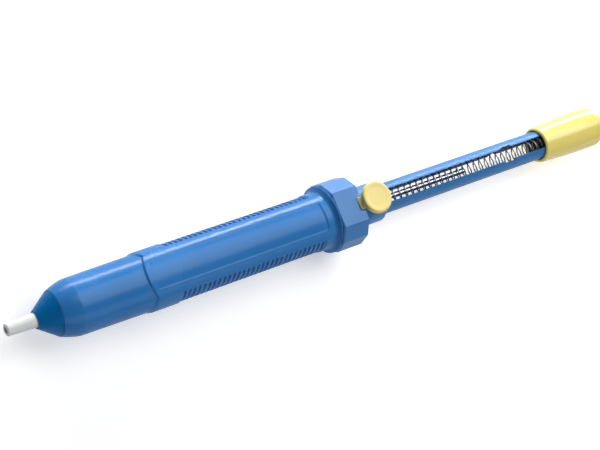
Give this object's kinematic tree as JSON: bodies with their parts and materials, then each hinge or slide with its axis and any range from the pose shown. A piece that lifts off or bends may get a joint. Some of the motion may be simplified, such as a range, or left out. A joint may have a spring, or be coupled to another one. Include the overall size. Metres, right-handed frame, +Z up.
{
  "type": "desoldering pump",
  "caption": "Hand-held spring-driven solder sucker: ribbed barrel with a narrow nozzle, faceted end cap with a release button, and a slotted plunger tube ending in a round knob.",
  "frame": {"origin": "centre of the bounding box's bottom face, with the long axis level and one edge of the end cap at the bottom", "axes": "+X along the long axis from the nozzle tip to the knob, +Z up towards the release button's face, +Y to the side"},
  "size_m": [0.366, 0.036, 0.0355],
  "materials": {
    "nozzle_ptfe": "waxy white PTFE, slightly translucent",
    "nose_plastic": "glossy, slightly translucent saturated blue",
    "barrel_plastic": "glossy moulded blue",
    "tube_plastic": "satin-gloss extruded blue tube",
    "knob_plastic": "glossy pale yellow",
    "bush_plastic": "natural acetal",
    "seal_rubber": "black nitrile",
    "bright_steel": "bright plated",
    "spring_steel": "drawn spring wire"
  },
  "bodies": {
    "housing": {"nozzle_tip": "nozzle_ptfe", "nozzle_seal": "seal_rubber", "nozzle_retainer": "barrel_plastic", "nose_cone": "nose_plastic", "nose_seal": "seal_rubber", "barrel": "barrel_plastic", "end_cap": "barrel_plastic", "guide_bush": "bush_plastic", "cap_gasket": "seal_rubber", "end_bumper": "seal_rubber", "cross_key": "bright_steel", "guide_rod": "bright_steel", "rod_nut": "bright_steel", "front_spring_seat": "bright_steel", "drive_spring": "spring_steel", "button_spring": "spring_steel"},
    "plunger": {"plunger_tube": "tube_plastic", "tube_plug": "bush_plastic", "piston": "bush_plastic", "piston_ring": "seal_rubber", "piston_screw": "bright_steel", "knob": "knob_plastic", "rear_spring_seat": "bright_steel"},
    "button": {"release_button": "knob_plastic", "latch_blade": "bright_steel", "button_pin": "bright_steel"}
  },
  "joints": [
    {"name": "plunger_slide", "type": "slide", "parent": "housing", "child": "plunger", "axis": [-1, 0, 0], "range_m": [0, 0.0935], "stiffness_N_per_m": 107, "springref_m": -0.08, "deforming": ["drive_spring"]},
    {"name": "button_press", "type": "slide", "parent": "housing", "child": "button", "axis": [0, 0, -1], "range_m": [0, 0.0022], "stiffness_N_per_m": 600, "springref_m": -0.003, "deforming": ["button_spring"]}
  ]
}
